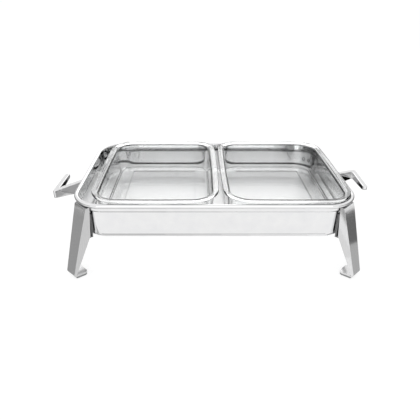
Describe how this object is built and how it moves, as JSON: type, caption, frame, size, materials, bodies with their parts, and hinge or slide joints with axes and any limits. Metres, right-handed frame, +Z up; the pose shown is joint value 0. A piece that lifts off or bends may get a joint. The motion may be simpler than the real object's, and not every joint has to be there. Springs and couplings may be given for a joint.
{
  "type": "double chafing dish",
  "caption": "Low polished steel pan on splayed corner legs with bar handles at its ends, holding lift-out glass dishes side by side on its rolled rim.",
  "frame": {"origin": "on the table, under the middle of the pan", "axes": "+Z up, +X to the right as seen from the front, -Y towards the front"},
  "size_m": [0.654, 0.3648, 0.158],
  "materials": {
    "pan_steel": "mirror-polished stainless steel",
    "leg_steel": "polished stainless steel",
    "handle_steel": "polished cast stainless steel",
    "plain_steel": "plain stainless steel",
    "foot_silicone": "matt grey silicone",
    "dish_glass": "clear pressed glass"
  },
  "bodies": {
    "frame": {"water_pan": "pan_steel", "rim_wire": "plain_steel", "front_left_leg": "leg_steel", "front_right_leg": "leg_steel", "rear_left_leg": "leg_steel", "rear_right_leg": "leg_steel", "front_left_bracket": "plain_steel", "front_right_bracket": "plain_steel", "rear_left_bracket": "plain_steel", "rear_right_bracket": "plain_steel", "front_left_foot_pad": "foot_silicone", "front_right_foot_pad": "foot_silicone", "rear_left_foot_pad": "foot_silicone", "rear_right_foot_pad": "foot_silicone", "leg_studs": "plain_steel", "leg_washers": "plain_steel", "leg_nuts": "plain_steel", "left_handle": "handle_steel", "right_handle": "handle_steel", "handle_studs": "plain_steel", "handle_washers": "plain_steel", "handle_nuts": "plain_steel"},
    "left_dish": {"left_glass_dish": "dish_glass"},
    "right_dish": {"right_glass_dish": "dish_glass"}
  },
  "joints": [
    {"name": "left_dish_lift", "type": "slide", "parent": "frame", "child": "left_dish", "axis": [0, 0, 1], "range_m": [0, 0.12]},
    {"name": "right_dish_lift", "type": "slide", "parent": "frame", "child": "right_dish", "axis": [0, 0, 1], "range_m": [0, 0.12]}
  ]
}
